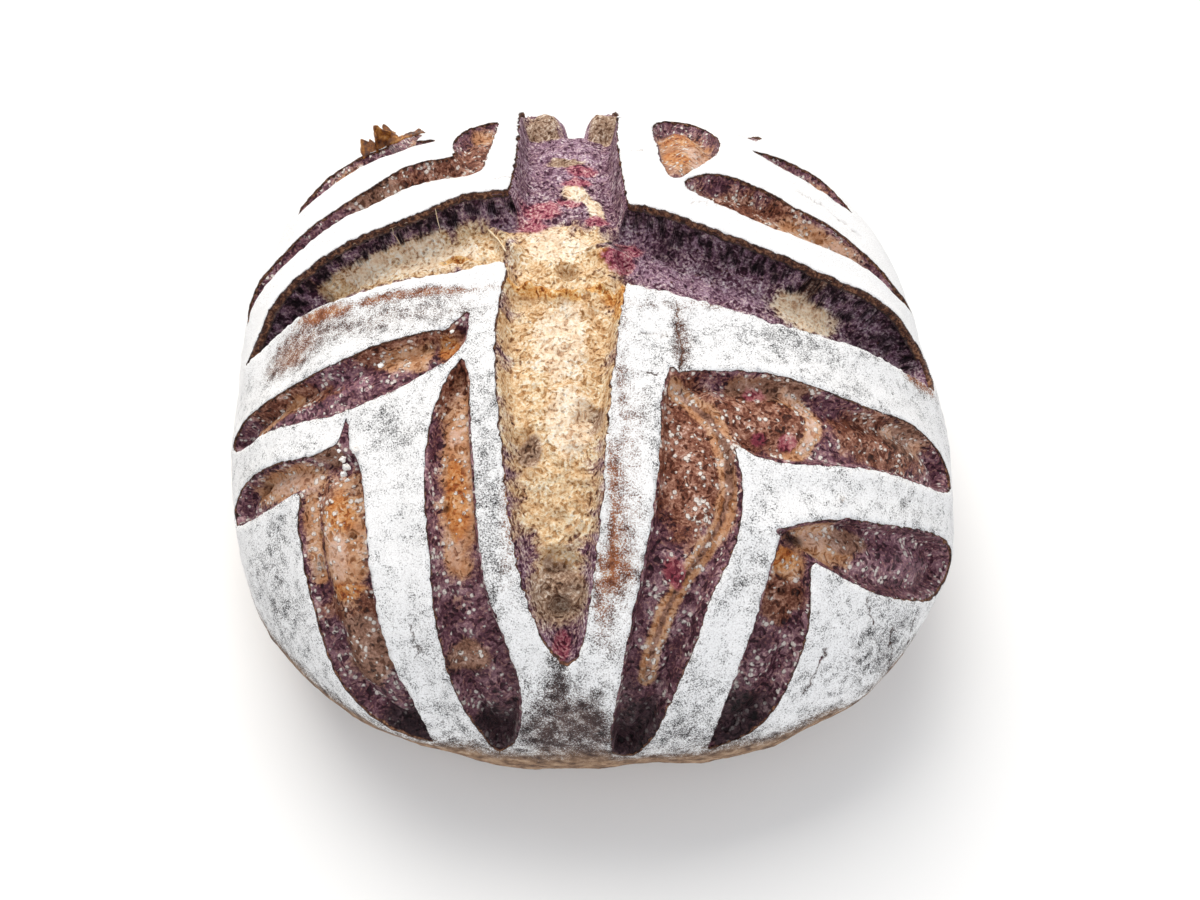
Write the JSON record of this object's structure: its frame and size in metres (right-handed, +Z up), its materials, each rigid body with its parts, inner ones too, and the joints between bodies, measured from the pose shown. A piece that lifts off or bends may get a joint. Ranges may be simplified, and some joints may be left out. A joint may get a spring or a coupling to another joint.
{
  "type": "sourdough loaf",
  "caption": "Round domed sourdough loaf with a floured crust, a deep cross of opened slashes and paired side slashes, flat underneath.",
  "frame": {"origin": "middle of the flat underside, at the bottom centre of the loaf's box", "axes": "+Z up out of the top crust; -Y is the front, where the longest slash of the cross runs down; +X is the right-hand side seen from the front"},
  "size_m": [0.219, 0.2262, 0.0992],
  "materials": {
    "crust": "baked brown crust dusted white with flour, dry and matt",
    "crumb": "torn purple and golden crumb, satin where its skin has baked"
  },
  "bodies": {
    "root": {"loaf": "crust"}
  },
  "joints": []
}
